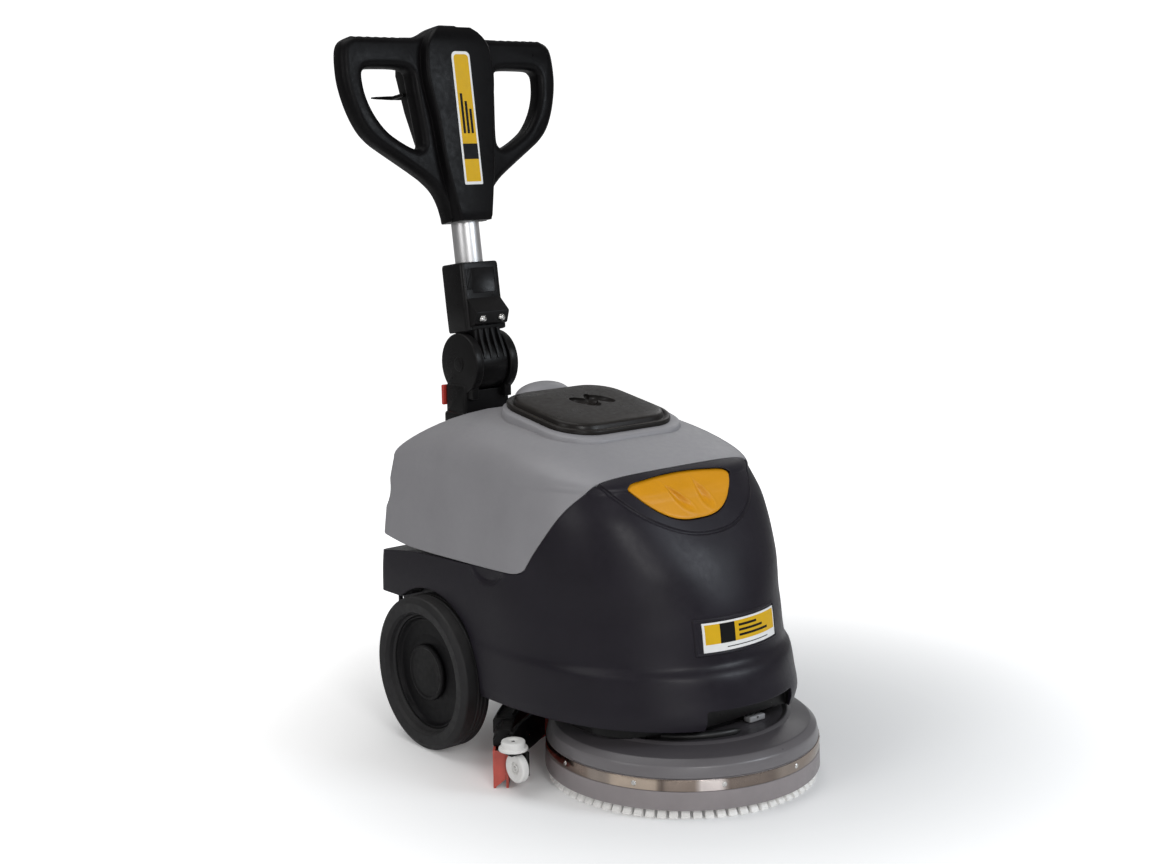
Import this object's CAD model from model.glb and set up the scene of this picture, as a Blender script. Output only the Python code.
from math import sin, cos, pi, tan, atan2, radians, exp, sqrt

import bpy
import bmesh
from mathutils import Matrix, Vector


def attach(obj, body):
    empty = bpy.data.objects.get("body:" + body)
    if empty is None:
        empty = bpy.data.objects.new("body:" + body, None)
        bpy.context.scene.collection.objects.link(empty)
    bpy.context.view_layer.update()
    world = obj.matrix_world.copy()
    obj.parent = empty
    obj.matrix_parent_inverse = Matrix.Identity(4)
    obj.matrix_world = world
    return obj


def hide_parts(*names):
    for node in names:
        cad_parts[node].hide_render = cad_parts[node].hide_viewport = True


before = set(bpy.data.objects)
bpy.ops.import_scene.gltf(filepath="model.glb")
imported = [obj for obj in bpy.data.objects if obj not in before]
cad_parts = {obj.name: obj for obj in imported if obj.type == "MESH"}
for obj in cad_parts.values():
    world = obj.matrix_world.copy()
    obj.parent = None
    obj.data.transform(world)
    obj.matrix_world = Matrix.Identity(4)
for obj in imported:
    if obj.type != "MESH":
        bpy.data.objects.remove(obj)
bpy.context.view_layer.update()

# Everything is drawn in the machine's own frame (deck axis at x = y = 0, floor at
# z = 0, front at -Y) and moved into the shared frame by ROW.
Y_SHIFT = 0.194068
ROW = Matrix.Translation((0, -Y_SHIFT, 0))
PIVOT = (0.0, 0.466, 0.544)
LEAN = radians(8.0)
COL = ROW @ Matrix.Translation(PIVOT) @ Matrix.Rotation(-LEAN, 4, 'X')

GAP = 0.0003
WALL = 0.0045
WHEEL_Y, WHEEL_R, WELL_R = 0.3144, 0.115, 0.125

HULL = (
    (0.108, 0.2145, 0.150, -0.150, 0.4505, 2.15),
    (0.125, 0.2165, 0.150, -0.156, 0.4505, 2.12),
    (0.150, 0.2165, 0.150, -0.150, 0.4505, 2.10),
    (0.178, 0.2160, 0.150, -0.141, 0.4505, 2.10),
    (0.190, 0.2145, 0.150, -0.130, 0.4505, 2.07),
    (0.247, 0.2130, 0.158, -0.121, 0.4505, 2.06),
    (0.304, 0.2080, 0.170, -0.099, 0.4495, 2.40),
    (0.335, 0.2055, 0.175, -0.082, 0.4475, 2.60),
    (0.360, 0.2020, 0.180, -0.065, 0.4470, 2.85),
    (0.390, 0.1955, 0.190, -0.043, 0.4470, 3.20),
    (0.418, 0.1885, 0.200, -0.022, 0.4465, 3.30),
)
REAR_R = 0.017
SHOULDER = HULL[-1][0]


# ------------------------------------------------------------------ mathematics
def monotone(xs, ys):
    """Monotone cubic through the given rows."""
    n = len(xs)
    h = [xs[i + 1] - xs[i] for i in range(n - 1)]
    d = [(ys[i + 1] - ys[i]) / h[i] for i in range(n - 1)]
    m = [d[0]] + [0.0] * (n - 2) + [d[-1]]
    for i in range(1, n - 1):
        if d[i - 1] * d[i] > 0:
            w1, w2 = 2 * h[i] + h[i - 1], h[i] + 2 * h[i - 1]
            m[i] = (w1 + w2) / (w1 / d[i - 1] + w2 / d[i])

    def f(x):
        x = min(max(x, xs[0]), xs[-1])
        i = 0
        while i < n - 2 and x > xs[i + 1]:
            i += 1
        t = (x - xs[i]) / h[i]
        return ((1 + 2 * t) * (1 - t) ** 2 * ys[i] + t * (1 - t) ** 2 * h[i] * m[i]
                + t * t * (3 - 2 * t) * ys[i + 1] + t * t * (t - 1) * h[i] * m[i + 1])
    return f


ROW_F = [monotone([r[0] for r in HULL], [r[k] for r in HULL]) for k in range(1, 6)]


def step(a, b, x):
    t = min(1.0, max(0.0, (x - a) / (b - a)))
    return t * t * (3 - 2 * t)


def section(z, inset=0.0, rear_extra=0.0):
    a, yc, yf, yr, n = (f(z) for f in ROW_F)
    return a - inset, yc, yf + inset, yr - inset - rear_extra, n


def crest(y):
    return (0.449 + 0.197 * (y + 0.04) - 2.0 * max(0.0, y - 0.25) ** 2
            - 0.0060 * exp(-((y - 0.31) / 0.10) ** 2))


def seat(y):
    return 0.4768 + 0.174 * (y - 0.10)


def spline(pts, per=6, closed=False):
    """Catmull-Rom curve through points of any dimension."""
    n = len(pts)
    out = []
    for i in range(n if closed else n - 1):
        if closed:
            p = [Vector(pts[(i + k) % n]) for k in (-1, 0, 1, 2)]
        else:
            p = [Vector(pts[min(max(i + k, 0), n - 1)]) for k in (-1, 0, 1, 2)]
        for k in range(per):
            t = k / per
            out.append(0.5 * ((2 * p[1]) + (p[2] - p[0]) * t
                              + (2 * p[0] - 5 * p[1] + 4 * p[2] - p[3]) * t * t
                              + (3 * p[1] - p[0] - 3 * p[2] + p[3]) * t ** 3))
    if not closed:
        out.append(Vector(pts[-1]))
    return [tuple(v) for v in out]


def chaikin(pts, times=2):
    """Corner cutting on an open line; the end points stay."""
    for _ in range(times):
        out = [pts[0]]
        for a, b in zip(pts, pts[1:]):
            out.append((a[0] * .75 + b[0] * .25, a[1] * .75 + b[1] * .25))
            out.append((a[0] * .25 + b[0] * .75, a[1] * .25 + b[1] * .75))
        out.append(pts[-1])
        pts = out
    return pts


def fillet(points, radius, steps=4):
    """Closed outline with rounded corners; a point may carry its own radius."""
    out, n = [], len(points)
    for i, p in enumerate(points):
        r = p[2] if len(p) > 2 else radius
        a, b, c = (Vector(points[k % n][:2]) for k in (i - 1, i, i + 1))
        u, v = a - b, c - b
        lu, lv = u.length, v.length
        u, v = u / lu, v / lv
        ang = u.angle(v)
        if r <= 0 or abs(pi - ang) < 0.03:
            out.append((b.x, b.y))
            continue
        t = min(r / tan(ang / 2), 0.47 * lu, 0.47 * lv)
        rr = t * tan(ang / 2)
        mid = b + (u + v).normalized() * (rr / sin(ang / 2))
        s, e = b + u * t, b + v * t
        a0 = atan2(s.y - mid.y, s.x - mid.x)
        d = (atan2(e.y - mid.y, e.x - mid.x) - a0 + pi) % (2 * pi) - pi
        for k in range(steps + 1):
            q = a0 + d * k / steps
            out.append((mid.x + rr * cos(q), mid.y + rr * sin(q)))
    return out


# ------------------------------------------------------------------ mesh tools
SCENE = bpy.context.scene


def keep(bm, name, matrix=ROW, smooth=32):
    bmesh.ops.remove_doubles(bm, verts=bm.verts, dist=0.000002)
    bmesh.ops.recalc_face_normals(bm, faces=bm.faces)
    me = bpy.data.meshes.new(name)
    bm.to_mesh(me)
    bm.free()
    me.transform(matrix)
    ob = bpy.data.objects.new(name, me)
    SCENE.collection.objects.link(ob)
    me.shade_smooth()
    me.set_sharp_from_angle(angle=radians(smooth))
    return ob


def boolean(ob, others, op='DIFFERENCE', smooth=32):
    """Exact boolean with one or several throwaway shapes."""
    for other in others:
        b = ob.modifiers.new("b", 'BOOLEAN')
        b.operation = op
        b.solver = 'EXACT'
        b.object = other
    deps = bpy.context.evaluated_depsgraph_get()
    me = bpy.data.meshes.new_from_object(ob.evaluated_get(deps))
    ob.modifiers.clear()
    ob.data = me
    me.shade_smooth()
    me.set_sharp_from_angle(angle=radians(smooth))
    for other in others:
        bpy.data.objects.remove(other, do_unlink=True)
    return ob


def block(x0, x1, y0, y1, z0, z1, r=0.0, seg=3, bm=None):
    tmp = bmesh.new()
    m = Matrix.Translation(((x0 + x1) / 2, (y0 + y1) / 2, (z0 + z1) / 2)) @ \
        Matrix.Diagonal((x1 - x0, y1 - y0, z1 - z0, 1))
    bmesh.ops.create_cube(tmp, size=1.0, matrix=m)
    if r > 0:
        bmesh.ops.bevel(tmp, geom=list(tmp.edges), offset=r, segments=seg, profile=0.5,
                        affect='EDGES', clamp_overlap=True)
    if bm is None:
        return tmp
    return merge(bm, tmp)


def merge(bm, other):
    me = bpy.data.meshes.new("t")
    other.to_mesh(me)
    other.free()
    bm.from_mesh(me)
    bpy.data.meshes.remove(me)
    return bm


AXIS = {'z': Matrix.Identity(4), 'x': Matrix.Rotation(pi / 2, 4, 'Y'),
        '-x': Matrix.Rotation(-pi / 2, 4, 'Y'), 'y': Matrix.Rotation(-pi / 2, 4, 'X'),
        '-y': Matrix.Rotation(pi / 2, 4, 'X')}


def lathe(profile, seg=96, closed=True, matrix=None):
    bm = bmesh.new()
    rings = []
    for r, z in profile:
        if r < 1e-6:
            rings.append([bm.verts.new((0, 0, z))] * seg)
        else:
            rings.append([bm.verts.new((r * cos(2 * pi * i / seg), r * sin(2 * pi * i / seg), z))
                          for i in range(seg)])
    pairs = list(zip(rings, rings[1:]))
    if closed:
        pairs.append((rings[-1], rings[0]))
    for a, b in pairs:
        for i in range(seg):
            j = (i + 1) % seg
            f = []
            for v in (a[i], a[j], b[j], b[i]):
                if v not in f:
                    f.append(v)
            if len(f) > 2:
                bm.faces.new(f)
    if matrix is not None:
        bm.transform(matrix)
    return bm


def rod(axis, centre, r, length, seg=48, edge=0.0):
    h = length / 2
    prof = [(0.0, -h), (r - edge, -h)]
    if edge > 0:
        prof += [(r - edge + edge * sin(pi / 2 * k / 4), -h + edge - edge * cos(pi / 2 * k / 4))
                 for k in range(1, 5)]
        prof += [(r - edge + edge * cos(pi / 2 * k / 4), h - edge + edge * sin(pi / 2 * k / 4))
                 for k in range(0, 5)]
    else:
        prof += [(r, h)]
    prof += [(0.0, h)]
    return lathe(prof, seg, False, Matrix.Translation(centre) @ AXIS[axis])


def loft(rings, cap=True, bm=None):
    bm = bm or bmesh.new()
    vr = [[bm.verts.new(p) for p in ring] for ring in rings]
    n = len(vr[0])
    for a, b in zip(vr, vr[1:]):
        for i in range(n):
            j = (i + 1) % n
            bm.faces.new((a[i], a[j], b[j], b[i]))
    if cap:
        bm.faces.new(list(reversed(vr[0])))
        bm.faces.new(vr[-1])
    return bm


def rrect(x0, x1, y0, y1, r, steps=5):
    """Rounded rectangle outline; r is one radius or four (from -x-y round to -x+y)."""
    rs = r if isinstance(r, (tuple, list)) else (r,) * 4
    c = ((x0, y0), (x1, y0), (x1, y1), (x0, y1))
    return fillet([(p[0], p[1], q) for p, q in zip(c, rs)], 0, steps)


def joined(parts, name, matrix=ROW, smooth=32):
    bm = bmesh.new()
    for p in parts:
        merge(bm, p)
    return keep(bm, name, matrix, smooth)


# ------------------------------------------------------------------ hull surface
def outline(z, count, inset=0.0, rear_extra=0.0, scale=1.0):
    a, yc, yf, yr, n = section(z, inset, rear_extra)
    r = max(0.004, REAR_R - inset)
    pts = []
    for i in range(count):
        t = 2 * pi * i / count
        c, s = cos(t), sin(t)
        if s < -1e-9:
            k = (abs(c) ** n + abs(s) ** n) ** (-1.0 / n)
            x, y = a * k * c, (yc - yf) * k * s
        else:
            b = yr - yc
            w = t / (pi / 2)
            side = 1 if w <= 1 else -1
            w = min(w, 2 - w)
            if w < 0.3:
                x, y = a, (b - r) * w / 0.3
            elif w <= 0.7:
                f = (w - 0.3) / 0.4 * pi / 2
                x, y = a - r + r * cos(f), b - r + r * sin(f)
            else:
                x, y = (a - r) * (1 - (w - 0.7) / 0.3), b
            x *= side
        pts.append((x * scale, yc + y * scale))
    return pts


def softness(y):
    """Exponent of the top rounding: fullest over the flanks, softer at both ends."""
    return (2.5 - 0.3 * min(1.0, max(0.0, (y - 0.20) / 0.15))
            - 0.25 * min(1.0, max(0.0, (0.10 - y) / 0.12)))


def hull_mesh(inset=0.0, rear_extra=0.0, bottom=0.108, count=144, dz=0.0040, rounds=18):
    bm = bmesh.new()
    rings = []
    nz = round((SHOULDER - 0.108) / dz)
    for k in range(nz + 1):
        z = 0.108 + (SHOULDER - 0.108) * k / nz
        zz = bottom if k == 0 else z
        rings.append([bm.verts.new((x, y, zz)) for x, y in outline(z, count, inset, rear_extra)])
    for k in range(1, rounds):
        t = pi / 2 * (k / rounds) ** 1.5
        q = cos(t) ** (2 / 3)
        ring = []
        rim = outline(SHOULDER, count, inset, rear_extra)
        for (x, y), (_, y_rim) in zip(outline(SHOULDER, count, inset, rear_extra, q), rim):
            m = softness(y_rim)
            z = SHOULDER + (crest(y) - inset - SHOULDER) * (1 - q ** m) ** (1 / m)
            ring.append(bm.verts.new((x, y, z)))
        rings.append(ring)
    for lo, hi in zip(rings, rings[1:]):
        for i in range(count):
            j = (i + 1) % count
            bm.faces.new((lo[i], lo[j], hi[j], hi[i]))
    bm.faces.new(list(reversed(rings[0])))
    yc = section(SHOULDER)[1]
    top = bm.verts.new((0, yc, crest(yc) - inset))
    for i in range(count):
        bm.faces.new((rings[-1][i], rings[-1][(i + 1) % count], top))
    return bm


def hull_front(x, z, inset=0.0):
    if z <= SHOULDER:
        a, yc, yf, yr, n = section(z, inset)
        return yc - (yc - yf) * max(0.0, 1 - (abs(x) / a) ** n) ** (1 / n)

    def inside(y):
        a, yc, yf, yr, n = section(z, inset)
        u = ((abs(x) / a) ** n + (abs(yc - y) / (yc - yf)) ** n) ** (1 / n)
        if u >= 1:
            return False
        m = softness(yc + (y - yc) / max(u, 0.2))
        return z <= SHOULDER + (crest(y) - inset - SHOULDER) * (1 - u ** m) ** (1 / m)
    lo, hi = -0.25, section(z)[1]
    for _ in range(26):
        mid = (lo + hi) / 2
        if inside(mid):
            hi = mid
        else:
            lo = mid
    return hi


def relief(x0, x1, edges, back, front, nx, nz, soft=0.0):
    """Solid on the front of the hull; front(x, z, u, v) gives how far it stands out."""
    bm = bmesh.new()
    a, b = [], []
    for i in range(nx + 1):
        x = x0 + (x1 - x0) * i / nx
        lo, hi = edges(x)
        la, lb = [], []
        for j in range(nz + 1):
            z = lo + (hi - lo) * j / nz
            y = hull_front(x, z)
            if soft:
                y = sum(hull_front(x, z + soft * q / 2) for q in range(-2, 3)) / 5
            la.append(bm.verts.new((x, y - back, z)))
            lb.append(bm.verts.new((x, y - front(x, z, i / nx, j / nz), z)))
        a.append(la)
        b.append(lb)
    for i in range(nx):
        for j in range(nz):
            bm.faces.new((a[i][j], a[i + 1][j], a[i + 1][j + 1], a[i][j + 1]))
            bm.faces.new((b[i][j], b[i][j + 1], b[i + 1][j + 1], b[i + 1][j]))
    for i in range(nx):
        for j in (0, nz):
            bm.faces.new((a[i][j], b[i][j], b[i + 1][j], a[i + 1][j]))
    for j in range(nz):
        for i in (0, nx):
            bm.faces.new((a[i][j], b[i][j], b[i][j + 1], a[i][j + 1]))
    return bm


PART_LINE = ((-0.110, 0.4700), (-0.020, 0.4470), (0.011, 0.4355), (0.019, 0.4200),
             (0.038, 0.3950), (0.055, 0.3680), (0.069, 0.3465), (0.085, 0.3235),
             (0.100, 0.2980))
BODY_TAIL = ((0.160, 0.2960), (0.350, 0.2900), (0.400, 0.2840), (0.460, 0.2740))
TANK_TAIL = ((0.160, 0.2960), (0.350, 0.2925), (0.400, 0.2960), (0.460, 0.3060))


def prism(name, tail, grow):
    pts = chaikin(list(PART_LINE) + list(tail), 2)
    out = []
    for i, p in enumerate(pts):
        a, b = pts[max(i - 1, 0)], pts[min(i + 1, len(pts) - 1)]
        dx, dz = b[0] - a[0], b[1] - a[1]
        ln = sqrt(dx * dx + dz * dz)
        out.append((p[0] + dz / ln * grow, p[1] - dx / ln * grow))
    out += [(0.60, out[-1][1]), (0.60, 0.70), (out[0][0], 0.70)]
    return keep(loft([[(-0.30, y, z) for y, z in out], [(0.30, y, z) for y, z in out]]), name)


def plate_loft(x, y0, y1, corner, profile, plane, steps=12):
    """Rounded rectangle built up from (inset, height) steps above a sloping plane."""
    rings = []
    for ins, h in profile:
        c = max(0.002, corner - ins)
        pts = rrect(-x + ins, x - ins, y0 + ins, y1 - ins, c, steps)
        rings.append([(px, py, plane(py) + h) for px, py in pts])
    return loft(rings)


# ------------------------------------------------------------------ materials
def add(nt, kind, **inputs):
    n = nt.nodes.new(kind)
    for k, v in inputs.items():
        setattr(n, k, v)
    return n


def finish_of(name, rgb, rough=0.45, metal=0.0, vary=0.14, blotch=14.0, grain=900.0,
              bump=0.10, edge=0.0015, wear=0.30, wear_rgb=None, rough_vary=0.14, spec=0.5,
              stretch=(1, 1, 1), dust=0.0, dust_rgb=(0.42, 0.40, 0.37), coat=0.0, pits=0.0):
    """Procedural finish: mottled colour, worn edges, moulded or brushed grain."""
    m = bpy.data.materials.new(name)
    m.use_nodes = True
    nt = m.node_tree
    link = nt.links.new
    b = nt.nodes["Principled BSDF"]
    tc = add(nt, "ShaderNodeTexCoord")
    mp = add(nt, "ShaderNodeMapping")
    mp.inputs["Scale"].default_value = stretch
    link(tc.outputs["Object"], mp.inputs["Vector"])

    big = add(nt, "ShaderNodeTexNoise")
    big.inputs["Scale"].default_value = blotch
    big.inputs["Detail"].default_value = 5
    big.inputs["Roughness"].default_value = 0.6
    link(tc.outputs["Object"], big.inputs["Vector"])
    fine = add(nt, "ShaderNodeTexNoise")
    fine.inputs["Scale"].default_value = grain
    fine.inputs["Detail"].default_value = 3
    link(mp.outputs["Vector"], fine.inputs["Vector"])

    ramp = add(nt, "ShaderNodeValToRGB")
    e = ramp.color_ramp.elements
    e[0].position, e[1].position = 0.30, 0.72
    e[0].color = (*[c * (1 - vary) for c in rgb], 1)
    e[1].color = (*[min(1.0, c * (1 + vary)) for c in rgb], 1)
    link(big.outputs["Fac"], ramp.inputs["Fac"])

    # rounded edges, and a mask of where the surface turns sharply
    bev = add(nt, "ShaderNodeBevel", samples=4)
    bev.inputs["Radius"].default_value = edge
    geo = add(nt, "ShaderNodeNewGeometry")
    dot = add(nt, "ShaderNodeVectorMath", operation='DOT_PRODUCT')
    link(bev.outputs["Normal"], dot.inputs[0])
    link(geo.outputs["Normal"], dot.inputs[1])
    inv = add(nt, "ShaderNodeMapRange")
    inv.inputs["From Min"].default_value = 0.995
    inv.inputs["From Max"].default_value = 0.86
    inv.inputs["To Max"].default_value = wear
    link(dot.outputs["Value"], inv.inputs["Value"])
    speck = add(nt, "ShaderNodeTexNoise")
    speck.inputs["Scale"].default_value = 130.0
    speck.inputs["Detail"].default_value = 6
    link(tc.outputs["Object"], speck.inputs["Vector"])
    part = add(nt, "ShaderNodeMapRange")
    part.inputs["From Min"].default_value = 0.42
    part.inputs["From Max"].default_value = 0.62
    link(speck.outputs["Fac"], part.inputs["Value"])
    mul = add(nt, "ShaderNodeMath", operation='MULTIPLY')
    link(inv.outputs["Result"], mul.inputs[0])
    link(part.outputs["Result"], mul.inputs[1])
    worn = add(nt, "ShaderNodeMix", data_type='RGBA')
    worn.inputs["B"].default_value = (*(wear_rgb or [min(1, c * 2.0 + 0.03) for c in rgb]), 1)
    link(mul.outputs["Value"], worn.inputs["Factor"])
    link(ramp.outputs["Color"], worn.inputs["A"])
    colour = worn.outputs["Result"]

    if dust > 0:     # settles on faces that look up, thicker low down
        sep = add(nt, "ShaderNodeSeparateXYZ")
        link(geo.outputs["Normal"], sep.inputs["Vector"])
        up = add(nt, "ShaderNodeMapRange")
        up.inputs["From Min"].default_value = 0.25
        up.inputs["From Max"].default_value = 1.0
        up.inputs["To Max"].default_value = dust
        link(sep.outputs["Z"], up.inputs["Value"])
        mask = add(nt, "ShaderNodeMath", operation='MULTIPLY')
        link(up.outputs["Result"], mask.inputs[0])
        link(big.outputs["Fac"], mask.inputs[1])
        dm = add(nt, "ShaderNodeMix", data_type='RGBA')
        dm.inputs["B"].default_value = (*dust_rgb, 1)
        link(mask.outputs["Value"], dm.inputs["Factor"])
        link(colour, dm.inputs["A"])
        colour = dm.outputs["Result"]
    link(colour, b.inputs["Base Color"])

    rr = add(nt, "ShaderNodeMapRange")
    rr.inputs["From Min"].default_value = 0.3
    rr.inputs["From Max"].default_value = 0.7
    rr.inputs["To Min"].default_value = max(0.05, rough - rough_vary)
    rr.inputs["To Max"].default_value = min(1.0, rough + rough_vary)
    mixn = add(nt, "ShaderNodeMix", data_type='FLOAT')
    mixn.inputs["Factor"].default_value = 0.45
    link(big.outputs["Fac"], mixn.inputs["A"])
    link(speck.outputs["Fac"], mixn.inputs["B"])
    link(mixn.outputs["Result"], rr.inputs["Value"])
    link(rr.outputs["Result"], b.inputs["Roughness"])

    bp = add(nt, "ShaderNodeBump")
    bp.inputs["Strength"].default_value = bump
    bp.inputs["Distance"].default_value = 0.0004
    link(fine.outputs["Fac"], bp.inputs["Height"])
    link(bev.outputs["Normal"], bp.inputs["Normal"])
    if pits > 0:
        vor = add(nt, "ShaderNodeTexVoronoi")
        vor.inputs["Scale"].default_value = grain * 0.6
        link(tc.outputs["Object"], vor.inputs["Vector"])
        bp2 = add(nt, "ShaderNodeBump")
        bp2.inputs["Strength"].default_value = pits
        bp2.inputs["Distance"].default_value = 0.0003
        link(vor.outputs["Distance"], bp2.inputs["Height"])
        link(bp.outputs["Normal"], bp2.inputs["Normal"])
        link(bp2.outputs["Normal"], b.inputs["Normal"])
    else:
        link(bp.outputs["Normal"], b.inputs["Normal"])
    b.inputs["Metallic"].default_value = metal
    b.inputs["Specular IOR Level"].default_value = spec
    b.inputs["Coat Weight"].default_value = coat
    b.inputs["Coat Roughness"].default_value = 0.25
    m.diffuse_color = (*rgb, 1)
    return m


M_BODY = finish_of("v_body_charcoal", (0.0105, 0.0085, 0.0135), 0.38, vary=0.12, grain=1300,
                   bump=0.14, edge=0.0022, wear=0.20, wear_rgb=(0.060, 0.056, 0.064), dust=0.02,
                   rough_vary=0.08, spec=0.24)
M_TANK = finish_of("v_tank_grey", (0.266, 0.261, 0.275), 0.46, vary=0.05, grain=1200, bump=0.14,
                   edge=0.0026, wear=0.18, wear_rgb=(0.42, 0.42, 0.44), dust=0.05)
M_LID = finish_of("v_lid_black", (0.0130, 0.0110, 0.0100), 0.34, vary=0.20, grain=1000, bump=0.12,
                  edge=0.0014, wear=0.12, dust=0.06, dust_rgb=(0.24, 0.21, 0.18), spec=0.20)
M_FLAP = finish_of("v_flap_amber", (0.66, 0.285, 0.006), 0.38, vary=0.06, grain=1200, bump=0.06,
                   edge=0.0010, wear=0.22, wear_rgb=(0.86, 0.56, 0.10), spec=0.28)
M_BLACK = finish_of("v_plastic_black", (0.0050, 0.0046, 0.0049), 0.34, vary=0.22, grain=1000,
                    bump=0.20, edge=0.0015, wear=0.30, wear_rgb=(0.040, 0.038, 0.038), dust=0.02,
                    spec=0.20)
M_HANDLE = finish_of("v_handle_black", (0.0042, 0.0039, 0.0043), 0.36, vary=0.20, grain=800,
                     bump=0.26, edge=0.0018, wear=0.28, wear_rgb=(0.028, 0.027, 0.028), pits=0.05,
                     spec=0.09)
M_FRAME = finish_of("v_frame_black", (0.020, 0.020, 0.021), 0.5, vary=0.2, grain=500, bump=0.2,
                    edge=0.0008, wear=0.5, wear_rgb=(0.16, 0.155, 0.15), dust=0.15)
M_STEEL = finish_of("v_band_steel", (0.34, 0.300, 0.272), 0.22, 1.0, vary=0.14, blotch=22,
                    grain=60, bump=0.05, edge=0.0005, wear=0.15, stretch=(0.5, 0.5, 26),
                    rough_vary=0.10)
M_BRIGHT = finish_of("v_screw_steel", (0.66, 0.65, 0.63), 0.24, 1.0, vary=0.12, blotch=90,
                     grain=1500, bump=0.05, edge=0.0004, wear=0.2)
M_TUBE = finish_of("v_tube_aluminium", (0.70, 0.695, 0.70), 0.40, 1.0, vary=0.03, blotch=14,
                   grain=160, bump=0.01, edge=0.0006, wear=0.1, stretch=(3, 3, 0.6),
                   rough_vary=0.04)
M_DECK = finish_of("v_deck_grey", (0.160, 0.151, 0.157), 0.30, vary=0.05, grain=1100, bump=0.02,
                   edge=0.0018, wear=0.0, dust=0.0, rough_vary=0.03, spec=0.4)
M_SKIRT = finish_of("v_skirt_grey", (0.262, 0.236, 0.240), 0.46, vary=0.09, blotch=20, grain=900,
                    bump=0.16, edge=0.0010, wear=0.25)
M_TYRE = finish_of("v_tyre_rubber", (0.0160, 0.0155, 0.0165), 0.55, vary=0.18, blotch=26, grain=700,
                   bump=0.28, edge=0.0012, wear=0.30, wear_rgb=(0.07, 0.068, 0.066), pits=0.15,
                   dust=0.05, spec=0.30)
M_CAP = finish_of("v_cap_black", (0.0036, 0.0033, 0.0038), 0.50, vary=0.12, grain=800, bump=0.10,
                  spec=0.20)
M_HOSE = finish_of("v_hose_grey", (0.17, 0.165, 0.17), 0.26, 0.5, vary=0.12, blotch=60, grain=500,
                   bump=0.08)
M_RIM = finish_of("v_rim_black", (0.0058, 0.0054, 0.0062), 0.44, vary=0.14, grain=900, bump=0.14,
                  edge=0.0014, wear=0.25, wear_rgb=(0.045, 0.044, 0.046), spec=0.15)
M_WHITE = finish_of("v_nylon_white", (0.80, 0.79, 0.77), 0.38, vary=0.05, blotch=60, grain=1200,
                    bump=0.08, edge=0.0008, wear=0.2, wear_rgb=(0.60, 0.58, 0.55))
M_BRISTLE = finish_of("v_bristle_white", (0.82, 0.81, 0.79), 0.6, vary=0.12, blotch=160, grain=500,
                      bump=0.6, edge=0.0004, wear=0.0, stretch=(6, 6, 0.4))
M_BLADE = finish_of("v_blade_red", (0.56, 0.095, 0.070), 0.42, vary=0.10, blotch=40, grain=900,
                    bump=0.14, edge=0.0005, wear=0.25, wear_rgb=(0.72, 0.22, 0.18))
M_LEVER = finish_of("v_lever_red", (0.60, 0.055, 0.040), 0.38, vary=0.08, blotch=60, grain=1200,
                    bump=0.08, edge=0.0010, wear=0.25)
M_YELLOW = finish_of("v_label_yellow", (0.68, 0.405, 0.012), 0.44, vary=0.04, blotch=50, grain=1500,
                     bump=0.03, edge=0.0003, wear=0.1, spec=0.16)
M_LABEL = finish_of("v_label_white", (0.80, 0.80, 0.79), 0.38, vary=0.03, blotch=50, grain=1500,
                    bump=0.03, edge=0.0003, wear=0.1, wear_rgb=(0.6, 0.6, 0.6))
M_INK = finish_of("v_label_ink", (0.006, 0.006, 0.0065), 0.48, vary=0.10, blotch=60, grain=1500,
                  bump=0.03, edge=0.0003, wear=0.1, wear_rgb=(0.03, 0.03, 0.03), spec=0.12)
M_HOSE = finish_of("v_hose_black", (0.016, 0.016, 0.016), 0.42, vary=0.15, grain=900, bump=0.2,
                   edge=0.0008, wear=0.3)
M_BATTERY = finish_of("v_battery_case", (0.090, 0.090, 0.095), 0.55, vary=0.12, grain=800,
                      bump=0.25, edge=0.0012, wear=0.3, dust=0.15)
M_CAST = finish_of("v_cast_aluminium", (0.50, 0.50, 0.50), 0.45, 1.0, vary=0.12, grain=600,
                   bump=0.35, edge=0.0010, wear=0.3)
M_LUG = finish_of("v_lug_grey", (0.33, 0.33, 0.34), 0.45, vary=0.1, grain=900, bump=0.15,
                  edge=0.0008, wear=0.3)
M_SWITCH = finish_of("v_switch_black", (0.022, 0.022, 0.023), 0.26, vary=0.1, grain=1200,
                     bump=0.06, edge=0.0008, wear=0.25)


def put(ob, body, mat, slot_name, *nodes):
    ob.data.materials.clear()
    ob.data.materials.append(mat)
    for p in ob.data.polygons:
        p.material_index = 0
    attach(ob, body)
    if nodes:
        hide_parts(*nodes)
    return ob


def carry(mat, *nodes):
    for n in nodes:
        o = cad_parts[n]
        o.data.materials.clear()
        o.data.materials.append(mat)


# ------------------------------------------------------------------ body shell
FLAP_CX, FLAP_HX = -0.013, 0.091
FLAP_TOP, FLAP_DEEP, FLAP_END = 0.4325, 0.0560, 0.0060


def flap_edges(x, margin=0.0):
    u = min(1.0, abs(x - FLAP_CX) / FLAP_HX)
    top = FLAP_TOP - 0.0060 * u ** 2
    low = top - FLAP_END - (FLAP_DEEP - FLAP_END) * (1 - u ** 2.7)
    top -= 0.0050 * (1 - sqrt(max(0.0, 1 - (max(0.0, u - 0.88) / 0.12) ** 2)))
    return low - margin, top + margin


prism_body_in = prism("p1", BODY_TAIL, 0.005)
inner = keep(hull_mesh(WALL, 0.0, 0.090, 72, 0.009, 10), "inner")
wells = []
for s in (-1, 1):
    x0, x1 = sorted((s * 0.1735, s * 0.26))
    wells.append(keep(rod('x', ((x0 + x1) / 2, WHEEL_Y, WHEEL_R), WELL_R + 0.005, x1 - x0, 64), "w"))
boolean(inner, [prism_body_in] + wells)

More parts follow.
